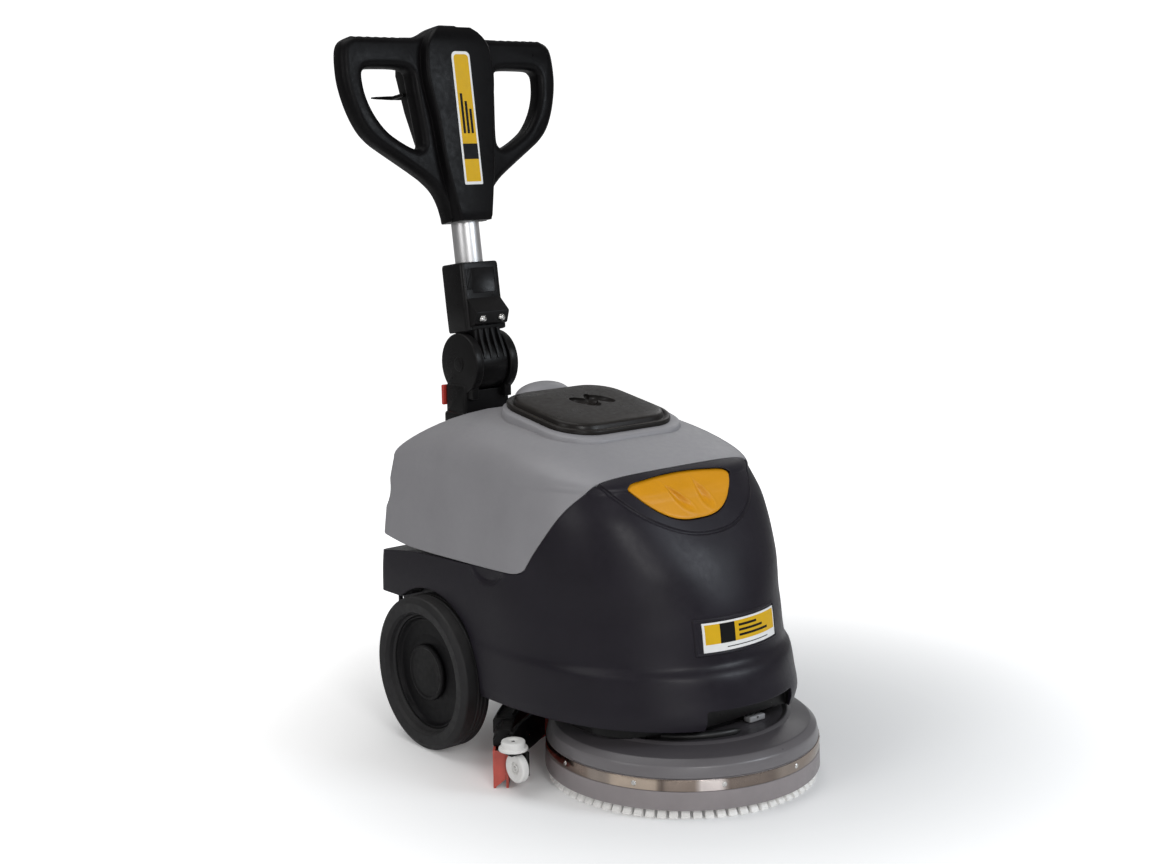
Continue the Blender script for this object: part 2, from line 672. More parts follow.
cutters = [prism("p0", BODY_TAIL, 0.0), inner,
           keep(block(-0.3, 0.3, WHEEL_Y, 0.52, 0.05, 0.160), "c"),
           keep(block(-0.1730, 0.1730, WHEEL_Y, 0.52, 0.155, 0.215), "c"),
           keep(block(0.1785, 0.3, WHEEL_Y, 0.52, 0.155, 0.215), "c"),
           keep(block(-0.3, -0.1785, WHEEL_Y, 0.52, 0.155, 0.215), "c")]
for s in (-1, 1):
    x0, x1 = sorted((s * 0.178, s * 0.26))
    cutters.append(keep(rod('x', ((x0 + x1) / 2, WHEEL_Y, WHEEL_R), WELL_R, x1 - x0, 96), "c"))
    cutters.append(keep(rod('x', (s * 0.1757, WHEEL_Y, WHEEL_R), 0.012, 0.012, 32), "c"))
    m = rod('x', (0, 0, 0), 0.030, 0.0400, 48, 0.010)
    m.transform(Matrix.Translation((s * 0.226, 0.178, 0.300)) @ Matrix.Diagonal((1, 1.45, 1, 1)))
    cutters.append(keep(m, "c"))
cutters.append(keep(block(-0.080, 0.080, -0.20, -0.1255, 0.10, 0.135, 0.004), "c"))
cutters.append(keep(rod('z', (0, 0.255, 0.29), 0.0235, 0.05, 48), "c"))
cutters.append(keep(relief(FLAP_CX - FLAP_HX - 0.0018, FLAP_CX + FLAP_HX + 0.0018,
                           lambda x: flap_edges(x, 0.0016), -0.0130,
                           lambda x, z, u, v: 0.010, 40, 10), "c"))

# crescent groove of the visor below the flap
VISOR = ((0.000, 0.3575), (0.030, 0.3595), (0.058, 0.3665), (0.085, 0.3785), (0.107, 0.3930),
         (0.127, 0.4140), (0.144, 0.4360))
line = [(-x, z) for x, z in reversed(VISOR[1:])] + list(VISOR)
line = spline(line, 5)
path = [Vector((x, hull_front(x, z) - 0.0009, z)) for x, z in line]
rings = []
for i, p in enumerate(path):
    t = (path[min(i + 1, len(path) - 1)] - path[max(i - 1, 0)]).normalized()
    out = Vector((0, -1, 0))
    out = (out - t * out.dot(t)).normalized()
    side = t.cross(out)
    rings.append([p + (side * cos(a) * 0.0032 + out * sin(a) * 0.0030)
                  for a in (2 * pi * k / 12 for k in range(12))])
cutters.append(keep(loft(rings), "c"))

body = keep(hull_mesh(), "body_shell_moulded")
boolean(body, cutters)
put(body, "chassis", M_BODY, "body_charcoal", "body_shell")

# short wall behind each wheel, closing the arch under the rear overhang
for s, tag in ((-1, "left"), (1, "right")):
    line = fillet([(0.3800, 0.2165), (0.3800, 0.1750, 0.010), (0.4260, 0.1750, 0.022),
                   (0.4460, 0.2165)], 0.001, 6)
    ob = keep(loft([[(s * x, y, z) for y, z in line] for x in (0.1733, 0.1738, 0.1777, 0.1782)]),
              "arch_wall_moulded_" + tag)
    put(ob, "chassis", M_BODY, "body_charcoal")

# moulded pad and frame round the nameplate
PAD = (-0.0765, 0.0765, 0.2035, 0.2545)


def pad_front(x, z, u, v):
    d = min(x - PAD[0], PAD[1] - x, z - PAD[2], PAD[3] - z)
    rim = 0.0021 * min(1.0, (max(d, 0.0) / 0.0016)) ** 0.5
    return rim - 0.0015 * step(0.0030, 0.0042, d)


pad = keep(relief(PAD[0], PAD[1], lambda x: (PAD[2], PAD[3]), -0.0012, pad_front, 96, 32),
           "badge_frame")
put(pad, "chassis", M_BODY, "body_charcoal")


def label(name, x0, x1, z0, z1, off0, off1, mat, nx=32, nz=8):
    ob = keep(relief(x0, x1, lambda x: (z0, z1), off0, lambda x, z, u, v: off1, nx, nz), name)
    return put(ob, "chassis", mat, "badge_yellow")


plate = label("badge_plate", -0.0650, 0.0715, 0.2085, 0.2480, 0.0004, 0.0016, M_LABEL)
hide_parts("front_badge")
label("badge_field", -0.0620, 0.0690, 0.2190, 0.2455, 0.0015, 0.00175, M_YELLOW)
label("badge_block", -0.0400, -0.0160, 0.2190, 0.2455, 0.0017, 0.0019, M_INK, 8)
for k in range(3):
    z = 0.2240 + 0.0068 * k
    label("badge_bar_%d" % (k + 1), -0.0090, 0.0500 - 0.012 * k, z, z + 0.0032, 0.0017, 0.0019,
          M_INK, 16, 2)
label("badge_underline", -0.0300, 0.0500, 0.2125, 0.2137, 0.0015, 0.0017, M_INK, 16, 2)

# dark neck under the shell, behind the front lug
neck = []
for out_x, out_y in ((0.168, 0.100), (0.165, 0.097)):
    line = [(out_x, 0.040)] + [(out_x * cos(q), -out_y * sin(q)) for q in
                               (pi * k / 60 for k in range(61))] + [(-out_x, 0.040)]
    neck.append(line)
line = neck[0] + list(reversed(neck[1]))
ob = keep(loft([[(x, y, z) for x, y in line] for z in (0.0912, 0.0918, 0.1112, 0.1118)]), "underbody_neck")
put(ob, "chassis", M_BLACK, "inset_black")

inset = keep(block(-0.0815, 0.0815, -0.1252, -0.1215, 0.1085, 0.1365, 0.0009, 2), "front_inset_panel")
extra = [block(-0.0815, 0.0815, -0.1325, -0.1220, 0.1346, 0.1366),
         block(-0.0450, 0.0450, -0.1440, -0.1220, 0.1346, 0.1365)]
extra += [block(min(q, q + 0.002 * t), max(q, q + 0.002 * t), -0.1320, -0.1220, 0.1086, 0.1364)
          for q, t in ((-0.0802, -1), (0.0802, 1))]
for k, bm in enumerate(extra):
    boolean(inset, [keep(bm, "c")], 'UNION')
put(inset, "chassis", M_BLACK, "inset_black", "front_inset")


# ------------------------------------------------------------------ filler flap
def flap_front(x, z, u, v):
    lo, hi = flap_edges(x)
    d = min(x - (FLAP_CX - FLAP_HX), FLAP_CX + FLAP_HX - x, (z - lo) * 0.9, hi - z)
    out = -0.0006 + 0.0026 * min(1.0, max(d, 0.0) / 0.0035) ** 0.5
    # two teardrop finger dents, deepest towards their lower outer ends
    for cx, lean in ((-0.0345, 0.75), (0.0105, 0.30)):
        dz = z - 0.4050
        dx = (x - cx) + lean * dz
        t = min(1.0, max(0.0, (dz + 0.0150) / 0.0300))
        half = 0.0030 + 0.0068 * (1 - t) ** 0.8
        g = (dx / half) ** 2 + (dz / 0.0145) ** 2
        out -= 0.0062 * exp(-g ** 1.7) * (1.15 - 0.5 * t)
        out += 0.0008 * exp(-(g - 1.9) ** 2 / 0.6)
    return out


flap = keep(relief(FLAP_CX - FLAP_HX, FLAP_CX + FLAP_HX, flap_edges, -0.0080, flap_front, 120, 46,
                   0.016),
            "filler_flap_moulded")
put(flap, "flap", M_FLAP, "flap_amber", "filler_flap")

# ------------------------------------------------------------------ tank
tank_in = keep(hull_mesh(WALL, 0.018, 0.20, 72, 0.009, 10), "ti")
boolean(tank_in, [prism("p3", TANK_TAIL, -0.0060)], 'INTERSECT')
tank = keep(hull_mesh(), "recovery_tank_moulded")
boolean(tank, [prism("p2", TANK_TAIL, -0.0010)], 'INTERSECT')
LID_X, LID_Y0, LID_Y1, LID_CORNER = 0.1085, 0.1020, 0.2930, 0.059
collar = keep(plate_loft(LID_X + 0.0120, LID_Y0 - 0.0140, LID_Y1 + 0.0015, LID_CORNER + 0.008,
                         ((0.0, -0.030), (0.0, -0.0050), (0.0012, -0.0022), (0.0040, -0.0006),
                          (0.0075, 0.0)), seat), "col")
boolean(tank, [collar], 'UNION')
boolean(tank, [tank_in,
               keep(plate_loft(LID_X - 0.018, LID_Y0 + 0.017, LID_Y1 - 0.018, 0.040,
                               ((0, -0.060), (0, 0.020)), seat), "c"),
               keep(rod('z', (0, 0.255, 0.29), 0.016, 0.06, 48), "c"),
               keep(rod('x', (0, 0.4590, 0.3660), 0.0300, 0.60, 64), "c")])
put(tank, "tank", M_TANK, "tank_grey", "recovery_tank")

bm = bmesh.new()
bmesh.ops.create_uvsphere(bm, u_segments=56, v_segments=32, radius=1.0,
                          matrix=Matrix.Translation((0.0240, 0.336, 0.5010)) @
                          Matrix.Diagonal((0.050, 0.0300, 0.0225, 1)))
hump = keep(bm, "rear_hump_moulded")
boolean(hump, [keep(hull_mesh(-GAP, 0, 0.108, 96, 0.02, 30), "c")])
put(hump, "tank", M_TANK, "hump_grey", "rear_hump")

# lid: lower lip, highlight groove, raised top with two finger hollows
lid = keep(plate_loft(LID_X, LID_Y0, LID_Y1, LID_CORNER,
                      ((0.0, 0.0003), (0.0, 0.0046), (0.0005, 0.0058), (0.0016, 0.0065),
                       (0.0062, 0.0066), (0.0074, 0.0061), (0.0080, 0.0048), (0.0098, 0.0046),
                       (0.0104, 0.0054), (0.0110, 0.0088), (0.0120, 0.0106), (0.0140, 0.0119),
                       (0.0175, 0.0126), (0.0400, 0.0130)), seat, 14), "tank_lid_moulded")
hollows = []
for dx, dy, turn, ex, ey in ((0.000, -0.002, 0.45, 0.0145, 0.0280), (0.034, 0.002, 0.45, 0.0125, 0.0240),
                             (0.017, 0.006, -0.35, 0.0085, 0.0260)):
    bm = bmesh.new()
    bmesh.ops.create_uvsphere(bm, u_segments=40, v_segments=24, radius=1.0,
                              matrix=Matrix.Translation((dx, 0.206 + dy, seat(0.206 + dy) + 0.0134)) @
                              Matrix.Rotation(turn, 4, 'Z') @
                              Matrix.Diagonal((ex, ey, 0.0112, 1)))
    hollows.append(keep(bm, "c"))
boolean(lid, hollows)
put(lid, "lid", M_LID, "lid_black", "tank_lid")

# ------------------------------------------------------------------ chassis inside
carry(M_FRAME, "chassis_frame")
carry(M_BRIGHT, "axle")
carry(M_BLACK, "pivot_pin")
carry(M_BATTERY, "battery_left", "battery_right")
carry(M_BLACK, "vacuum_motor", "brush_motor")
carry(M_CAST, "gearbox")
carry(M_STEEL, "drive_hub")
carry(M_BRISTLE, "brush_disc")

# battery lids with terminals and a motor end cap, seen when the tank is lifted off
for s, tag in ((-1, "left"), (1, "right")):
    x0, x1 = sorted((s * 0.033, s * 0.132))
    xc = (x0 + x1) / 2
    parts = [block(x0, x1, 0.071, 0.229, 0.2625, 0.2660, 0.0015)]
    for k in range(3):
        parts.append(rod('z', (xc, 0.105 + 0.045 * k, 0.2668), 0.0085, 0.0030, 24, 0.0008))
    ob = joined(parts, "battery_lid_" + tag)
    put(ob, "chassis", M_BLACK, "battery_grey")
    parts = [rod('z', (xc + q * 0.032, 0.082, 0.2700), 0.0055, 0.0090, 20, 0.0008)
             for q in (-1, 1)]
    ob = joined(parts, "battery_terminals_" + tag)
    put(ob, "chassis", M_BRIGHT, "battery_grey")

# ------------------------------------------------------------------ brush deck
def tint_round(mat, stops):
    """Multiply the base colour by soft streaks that run round the deck axis."""
    nt = mat.node_tree
    bsdf = next(n for n in nt.nodes if n.type == 'BSDF_PRINCIPLED')
    src = bsdf.inputs["Base Color"].links[0].from_socket
    tc = nt.nodes.new("ShaderNodeTexCoord")
    sp = nt.nodes.new("ShaderNodeSeparateXYZ")
    at = nt.nodes.new("ShaderNodeMath")
    at.operation = 'ARCTAN2'
    mr = nt.nodes.new("ShaderNodeMapRange")
    mr.inputs["From Min"].default_value = -pi
    mr.inputs["From Max"].default_value = pi
    ramp = nt.nodes.new("ShaderNodeValToRGB")
    ramp.color_ramp.interpolation = 'EASE'
    while len(ramp.color_ramp.elements) < len(stops):
        ramp.color_ramp.elements.new(0.5)
    for el, (deg, c) in zip(ramp.color_ramp.elements, stops):
        el.position = (deg + 180.0) / 360.0
        el.color = (*c, 1)
    mix = nt.nodes.new("ShaderNodeMix")
    mix.data_type = 'RGBA'
    mix.blend_type = 'MULTIPLY'
    mix.inputs[0].default_value = 1.0
    off = nt.nodes.new("ShaderNodeVectorMath")
    off.operation = 'ADD'
    off.inputs[1].default_value = (0.0, Y_SHIFT, 0.0)
    nt.links.new(tc.outputs["Object"], off.inputs[0])
    nt.links.new(off.outputs["Vector"], sp.inputs[0])
    nt.links.new(sp.outputs["Y"], at.inputs[0])
    nt.links.new(sp.outputs["X"], at.inputs[1])
    nt.links.new(at.outputs[0], mr.inputs["Value"])
    nt.links.new(mr.outputs["Result"], ramp.inputs["Fac"])
    nt.links.new(src, mix.inputs[6])
    nt.links.new(ramp.outputs["Color"], mix.inputs[7])
    nt.links.new(mix.outputs[2], bsdf.inputs["Base Color"])


def shade_up(mat, rgb):
    """Grime: multiply the colour where the surface faces straight up."""
    nt = mat.node_tree
    bsdf = next(n for n in nt.nodes if n.type == 'BSDF_PRINCIPLED')
    src = bsdf.inputs["Base Color"].links[0].from_socket
    geo = nt.nodes.new("ShaderNodeNewGeometry")
    sep = nt.nodes.new("ShaderNodeSeparateXYZ")
    up = nt.nodes.new("ShaderNodeMapRange")
    up.interpolation_type = 'SMOOTHSTEP'
    up.inputs["From Min"].default_value = 0.55
    up.inputs["From Max"].default_value = 0.99
    mix = nt.nodes.new("ShaderNodeMix")
    mix.data_type = 'RGBA'
    mix.blend_type = 'MULTIPLY'
    mix.inputs[7].default_value = (*rgb, 1)
    nt.links.new(geo.outputs["Normal"], sep.inputs[0])
    nt.links.new(sep.outputs["Z"], up.inputs["Value"])
    nt.links.new(up.outputs["Result"], mix.inputs[0])
    nt.links.new(src, mix.inputs[6])
    nt.links.new(mix.outputs[2], bsdf.inputs["Base Color"])


shade_up(M_DECK, (0.36, 0.35, 0.37))
FAINT, SHADE = (0.70, 0.62, 0.57), (0.62, 0.57, 0.54)
DIM, CREAM, DARK, WHITE, MID = (0.92, 0.84, 0.78), (1.60, 1.48, 1.32), (0.42, 0.38, 0.36), \
    (2.7, 2.75, 2.9), (0.98, 0.94, 0.90)
tint_round(M_STEEL, ((-180, FAINT), (-175, FAINT), (-172, MID), (-164, MID), (-161, CREAM), (-144, CREAM),
                     (-141, DARK), (-138.5, DIM), (-127.5, DIM), (-125, WHITE), (-118, WHITE),
                     (-114, SHADE), (-95, SHADE), (-88, MID), (-68, DIM), (-40, MID), (-20, DARK),
                     (10, MID), (30, CREAM), (44, DARK), (90, MID), (118, WHITE), (132, DARK),
                     (150, FAINT), (180, FAINT)))
for m in (M_BRISTLE,):
    b = next(n for n in m.node_tree.nodes if n.type == 'BSDF_PRINCIPLED')
    b.inputs["Emission Color"].default_value = (1.0, 0.99, 0.97, 1)
    b.inputs["Emission Strength"].default_value = 0.10

deck = keep(lathe(fillet([(0.1812, 0.0798, 0.0070), (0.1905, 0.0715, 0.0060),
                          (0.1938, 0.0562, 0.0012), (0.1880, 0.0562, 0.0005),
                          (0.1860, 0.0710, 0.002), (0.1500, 0.0860, 0.003), (0.0300, 0.0860, 0),
                          (0.0300, 0.0905, 0), (0.1180, 0.0905, 0.003), (0.1280, 0.0885, 0.004),
                          (0.1430, 0.0888, 0.003), (0.1485, 0.0932, 0.0028), (0.1545, 0.0892, 0.003),
                          (0.1660, 0.0850, 0.004)], 0.002, 4), 180), "deck_cover_moulded")
put(deck, "chassis", M_DECK, "deck_grey", "deck_cover")
arc = []
for k in range(41):
    a = radians(-158 + 64 * k / 40)
    thin = 0.0050 * min(1.0, 0.35 + 0.25 * min(k, 40 - k))
    arc.append([((0.1280 + thin * cos(q)) * cos(a), (0.1280 + thin * cos(q)) * sin(a), 0.0920 + thin * sin(q))
                for q in (2 * pi * i / 20 for i in range(20))])
hose = keep(loft(arc), "deck_drain_hose")
put(hose, "chassis", M_HOSE, "deck_grey")
skirt = keep(lathe(fillet([(0.1930, 0.0557, 0.0004), (0.1930, 0.0392, 0), (0.1950, 0.0386, 0.0006),
                           (0.1955, 0.0130, 0.0012), (0.1890, 0.0130, 0.0012),
                           (0.1885, 0.0557, 0.0004)], 0.001, 3), 180), "splash_skirt_moulded")
put(skirt, "chassis", M_SKIRT, "skirt_grey", "splash_skirt")
band = keep(lathe(fillet([(0.1945, 0.0554), (0.1945, 0.0396), (0.1933, 0.0396),
                          (0.1933, 0.0554)], 0.0004, 2), 180), "skirt_band_steel")
put(band, "chassis", M_STEEL, "band_steel", "skirt_band")

screws = []
for k in range(10):
    ang = radians(-80.0 + 36.0 * k)
    head = lathe([(0.0, -0.0004), (0.0036, -0.0004), (0.0036, 0.0002), (0.0030, 0.0008),
                  (0.0018, 0.0010), (0.0016, 0.0004), (0.0, 0.0004)], 20, False)
    head.transform(Matrix.Rotation(ang, 4, 'Z') @ Matrix.Translation((0.1945 - 0.0001, 0, 0.0475))
                   @ AXIS['x'])
    screws.append(head)
    bar = block(-0.0001, 0.0009, -0.0004, 0.0004, -0.0024, 0.0024)
    bar.transform(Matrix.Rotation(ang, 4, 'Z') @ Matrix.Translation((0.1945, 0, 0.0475))
                  @ Matrix.Rotation(0.5 + k, 4, 'X'))
    screws.append(bar)
ob = joined(screws, "band_screws")
put(ob, "chassis", M_BRIGHT, "screw_steel_1", *["skirt_screw_%d" % (k + 1) for k in range(10)])

lug = keep(block(0.020, 0.050, -0.117, -0.104, 0.0911, 0.0995, 0.0018), "deck_lug_moulded")
boolean(lug, [keep(rod('y', (0.035, -0.110, 0.0963), 0.0020, 0.03, 20), "c")])
put(lug, "chassis", M_LUG, "lug_grey", "deck_lug")

# bristle tufts in rings; the outer ring leans outwards
tufts = bmesh.new()
for ring, (r0, lean, n) in enumerate(((0.1740, 0.0135, 74), (0.1560, 0.003, 80), (0.1420, 0.0, 72),
                                      (0.1270, 0.0, 64), (0.1120, 0.0, 56), (0.0980, -0.002, 48))):
    for k in range(n):
        a = 2 * pi * (k + 0.5 * (ring % 2)) / n
        half = 0.0052 if ring == 0 else 0.0038
        jig = 0.0006 * sin(37.0 * k + 11 * ring)
        ringpts = []
        for z, rr, w in ((0.0298, r0, half * 0.80), (0.0150, r0 + lean * 0.45, half * 0.95),
                         (0.0030, r0 + lean, half * 1.22), (0.0002 + abs(jig) * 0.6, r0 + lean, half * 1.15)):
            square = [(cos(q) / max(abs(cos(q)), abs(sin(q))) ** 0.7,
                       sin(q) / max(abs(cos(q)), abs(sin(q))) ** 0.7)
                      for q in (2 * pi * (i + 0.5) / 12 for i in range(12))]
            ringpts.append([((rr + jig) * cos(a) + w * (cos(a) * 0.62 * cq - sin(a) * sq),
                             (rr + jig) * sin(a) + w * (sin(a) * 0.62 * cq + cos(a) * sq), z)
                            for cq, sq in square])
        merge(tufts, loft(ringpts))
ring = keep(lathe(fillet([(0.1668, 0.0292), (0.1708, 0.0040), (0.1688, 0.0040), (0.1648, 0.0292)],
                         0.0004, 2), 144), "brush_backing_ring")
put(ring, "brush", M_BLACK, "bristle_white")
ob = keep(tufts, "brush_tufts")
put(ob, "brush", M_BRISTLE, "bristle_white", "brush_bristles")

# ------------------------------------------------------------------ wheels
for s, tag in ((-1, "left"), (1, "right")):
    rot = ROW @ Matrix.Translation((0, WHEEL_Y, WHEEL_R)) @ Matrix.Rotation(s * pi / 2, 4, 'Y')
    rev = ROW.inverted() @ rot @ Matrix.Translation((0, 0, 0.0034))
    tread = []
    for w in (0.2090, 0.2025, 0.1960):
        tread += [(0.1150, w + 0.0014, 0.0003), (0.1138, w + 0.0008, 0.0002),
                  (0.1138, w - 0.0008, 0.0002), (0.1150, w - 0.0014, 0.0003)]
    prof = fillet([(0.0925, 0.2312, 0.0020), (0.1060, 0.2326, 0.0030), (0.1150, 0.2275, 0.0055)]
                  + tread + [(0.1150, 0.1880, 0.0045), (0.1110, 0.1850, 0.0030), (0.0850, 0.1850, 0.0008),
                   (0.0850, 0.2180, 0.0006), (0.0875, 0.2200, 0.0008), (0.0890, 0.2260, 0.0012)],
                  0.002, 5)
    tyre = keep(lathe(prof, 144, True, rev), "tyre_moulded_" + tag)
    put(tyre, "wheel_" + tag, M_TYRE, "tyre_dark_" + tag, "tyre_" + tag)
    rim = keep(lathe(fillet([(0.0847, 0.2165, 0.0012), (0.0847, 0.1860, 0.0010),
                             (0.0083, 0.1860, 0.0005), (0.0083, 0.2130, 0.0005),
                             (0.0420, 0.2128, 0.0020), (0.0560, 0.2105, 0.0060),
                             (0.0780, 0.2095, 0.0040), (0.0815, 0.2165, 0.0014)], 0.001, 5),
                     120, True, rev), "rim_moulded_" + tag)
    put(rim, "wheel_" + tag, M_RIM, "rim_black_" + tag, "rim_" + tag)
    cap = keep(lathe([(0.0, 0.2150)] + [(0.0405, 0.2152), (0.0425, 0.2160), (0.0424, 0.2185),
                                        (0.0418, 0.2200), (0.0402, 0.2210), (0.0380, 0.2212),
                                        (0.0368, 0.2207), (0.0360, 0.2200), (0.0350, 0.2198),
                                        (0.0200, 0.2203), (0.0080, 0.2206), (0.0, 0.2207)],
                     96, False, rev), "hub_cap_moulded_" + tag)
    put(cap, "wheel_" + tag, M_CAP, "cap_black_" + tag, "hub_cap_" + tag)


# ------------------------------------------------------------------ squeegee
def curve_y(x):
    return 0.255 - 2.5 * x * x


def sweep(sec, x0, x1, n=48, vary=None):
    """Closed (offset, z) section carried along the squeegee curve."""
    rings = []
    for i in range(n + 1):
        x = x0 + (x1 - x0) * i / n
        slope = -5.0 * x
        ln = sqrt(1 + slope * slope)
        nx, ny = -slope / ln, 1 / ln
        pts = vary(x, sec) if vary else sec
        rings.append([(x + nx * o, curve_y(x) + ny * o, z) for o, z in pts])
    return loft(rings)


beam = keep(sweep(fillet([(-0.0160, 0.0560), (0.0160, 0.0560), (0.0160, 0.0800),
                          (-0.0160, 0.0800)], 0.0035, 4), -0.2000, 0.2000, 60),
            "squeegee_beam")
boolean(beam, [keep(sweep(fillet([(-0.0060, 0.0300), (0.0060, 0.0300), (0.0060, 0.0700),
                                  (-0.0060, 0.0700)], 0.001, 2), -0.1985, 0.1985, 60), "c"),
               keep(rod('z', (0, curve_y(0), 0.0950), 0.0155, 0.0640, 48, 0.001), "c"),
               joined([sweep(fillet([(-0.0125, 0.0790), (-0.0095, 0.0790), (-0.0100, 0.0835),
                                     (-0.0120, 0.0835)], 0.0004, 2), -0.190, 0.190, 48),
                       sweep(fillet([(0.0095, 0.0790), (0.0125, 0.0790), (0.0120, 0.0835),
                                     (0.0100, 0.0835)], 0.0004, 2), -0.190, 0.190, 48)], "c")],
        'UNION')
boolean(beam, [keep(rod('z', (0, curve_y(0), 0.0950), 0.0130, 0.1600, 48), "c")])
put(beam, "squeegee", M_BLACK, "squeegee_black", "squeegee_body")

for off, tag in ((-0.0106, "front"), (0.0071, "rear")):
    sec = fillet([(off, 0.0), (off + 0.0035, 0.0), (off + 0.0035, 0.0550), (off, 0.0550)], 0.0005, 2)
    ob = keep(sweep(sec, -0.242, 0.242, 72), "blade_rubber_" + tag)
    if tag == "rear":
        tip = fillet([(-0.0068, 0.0130), (0.0085, 0.0006), (0.0085, 0.0540), (-0.0068, 0.0540)], 0.0004, 2)
        boolean(ob, [keep(sweep(tip, x0, x1, 2), "c") for x0, x1 in ((-0.2419, -0.2396), (0.2396, 0.2419))],
                'UNION')
    put(ob, "squeegee", M_BLADE, "blade_red_" + tag, "blade_" + tag)

for s, tag in ((-1, "left"), (1, "right")):
    x0, x1 = sorted((s * 0.2280, s * 0.2325))
    br = keep(block(x0, x1, 0.0600, 0.1020, 0.0280, 0.0631, 0.0012, 2), "end_bracket_moulded_" + tag)
    more = []
    x0, x1 = sorted((s * 0.2300, s * 0.2560))
    more.append(keep(block(x0, x1, 0.0640, 0.0980, 0.0609, 0.0629, 0.0006, 2), "c"))
    x0, x1 = sorted((s * 0.2283, s * 0.2322))
    more.append(keep(block(x0, x1, 0.0950, 0.1180, 0.0562, 0.0627), "c"))
    x0, x1 = sorted((s * 0.2190, s * 0.2316))
    more.append(keep(block(x0, x1, 0.1040, 0.1165, 0.0565, 0.0720, 0.0030, 3), "c"))
    x0, x1 = sorted((s * 0.2003, s * 0.2330))
    more.append(keep(sweep(fillet([(-0.0158, 0.0562), (0.0108, 0.0562), (0.0108, 0.0680, 0.004),
                                   (0.0020, 0.0788, 0.004), (-0.0158, 0.0788)], 0.0030, 4), x0, x1, 8), "c"))
    guard = spline(((0.2205, 0.1046), (0.1900, 0.1280), (0.1500, 0.1500), (0.1120, 0.1735)), 4)
    sec = fillet([(0, 0.0302), (1, 0.0302), (1, 0.0763), (0, 0.0763)], 0, 1)
    more.append(keep(loft([[(s * (x + 0.003 * o), y + 0.0055 * o, z) for o, z in sec]
                           for x, y in guard]), "c"))
    boolean(br, more, 'UNION')
    put(br, "squeegee", M_BLACK, "bracket_black_" + tag, "end_bracket_" + tag)

    rot = Matrix.Translation((s * 0.240, 0.081, 0.0))
    roller = keep(lathe(fillet([(0.0165, 0.0765, 0.0016), (0.0170, 0.0680, 0.0008),
                                (0.0204, 0.0674, 0.0012), (0.0206, 0.0634, 0.0010),
                                (0.0032, 0.0634, 0.0004), (0.0032, 0.0752, 0.0004),
                                (0.0070, 0.0752, 0.0006), (0.0082, 0.0765, 0.0006)], 0.001, 3),
                        72, True, rot), "bumper_roller_turned_" + tag)
    put(roller, "roller_" + tag, M_WHITE, "roller_white_" + tag, "bumper_roller_" + tag)
    rot = Matrix.Translation((0, 0.074, 0.039)) @ Matrix.Rotation(s * pi / 2, 4, 'Y')
    side = keep(lathe(fillet([(0.0182, 0.2450, 0.0015), (0.0206, 0.2432, 0.0012),
                              (0.0206, 0.2348, 0.0012), (0.0184, 0.2330, 0.0010),
                              (0.0032, 0.2330, 0.0004), (0.0032, 0.2436, 0.0004),
                              (0.0052, 0.2436, 0.0006), (0.0056, 0.2400, 0.0006),
                              (0.0085, 0.2400, 0.0006), (0.0090, 0.2440, 0.0006),
                              (0.0150, 0.2444, 0.0010)], 0.001, 3), 64, True, rot),
                "side_wheel_turned_" + tag)
    put(side, "side_wheel_" + tag[0], M_WHITE, "side_wheel_white_" + tag, "side_wheel_" + tag)
    pin = joined([rod('x', (s * 0.2385, 0.074, 0.039), 0.0028, 0.0110, 20, 0.0006),
                  rod('z', (s * 0.240, 0.081, 0.0690), 0.0028, 0.0130, 20, 0.0006)],
                 "roller_pins_" + tag)
    put(pin, "squeegee", M_BRIGHT, "bracket_black_" + tag)

prof = [(0.0162, 0.1080), (0.0182, 0.1080)]
N_RIB = 24
for k in range(N_RIB * 6 + 1):
    z = 0.1120 + (0.2830 - 0.1120) * k / (N_RIB * 6)
    prof.append((0.0186 + 0.0009 * cos(2 * pi * k / 6), z))
prof += [(0.0182, 0.2870), (0.0162, 0.2870)]
ob = keep(lathe(prof, 40, True, Matrix.Translation((0, curve_y(0), 0))), "suction_hose_ribbed")
put(ob, "chassis", M_HOSE, "hose_black", "suction_hose")

# ------------------------------------------------------------------ column post
PX, PY, PZ = PIVOT
post = keep(block(-0.032, 0.032, 0.4520, 0.4880, 0.1600, 0.4900, 0.004), "column_post_moulded")
parts = [keep(block(-0.050, 0.050, 0.4283, 0.4640, 0.1600, 0.2050, 0.003), "c"),
         keep(block(-0.0440, 0.0440, 0.4478, 0.5015, 0.4500, 0.5120, 0.006, 4), "c"),
         keep(block(-0.0490, 0.0470, 0.4482, 0.5005, 0.4400, 0.4680, 0.006, 4), "c")]
for s in (-1, 1):
    parts.append(keep(rod('x', (s * 0.0335, PY, PZ), 0.0485, 0.0150, 72, 0.0030), "c"))
    parts.append(keep(block(s * 0.0317 - 0.0063, s * 0.0317 + 0.0063, PY - 0.031, PY + 0.031,
                            0.490, 0.530, 0.001, 2), "c"))
boolean(post, parts, 'UNION')
boolean(post, [keep(rod('x', PIVOT, 0.0455, 0.0530, 72), "c"),
               keep(rod('x', PIVOT, 0.0063, 0.10, 32), "c")])
put(post, "chassis", M_BLACK, "column_black", "column_post")

caps = [rod('x', (s * 0.0413, PY, PZ), 0.0115, 0.0016, 40, 0.0006) for s in (-1, 1)]
ob = joined(caps, "pivot_caps")
put(ob, "chassis", M_BLACK, "column_black")

lever = keep(block(-0.0470, -0.0360, 0.5025, 0.5085, 0.4760, 0.5080, 0.0018), "release_lever_moulded")
put(lever, "fold_lock", M_LEVER, "lever_red", "release_lever")

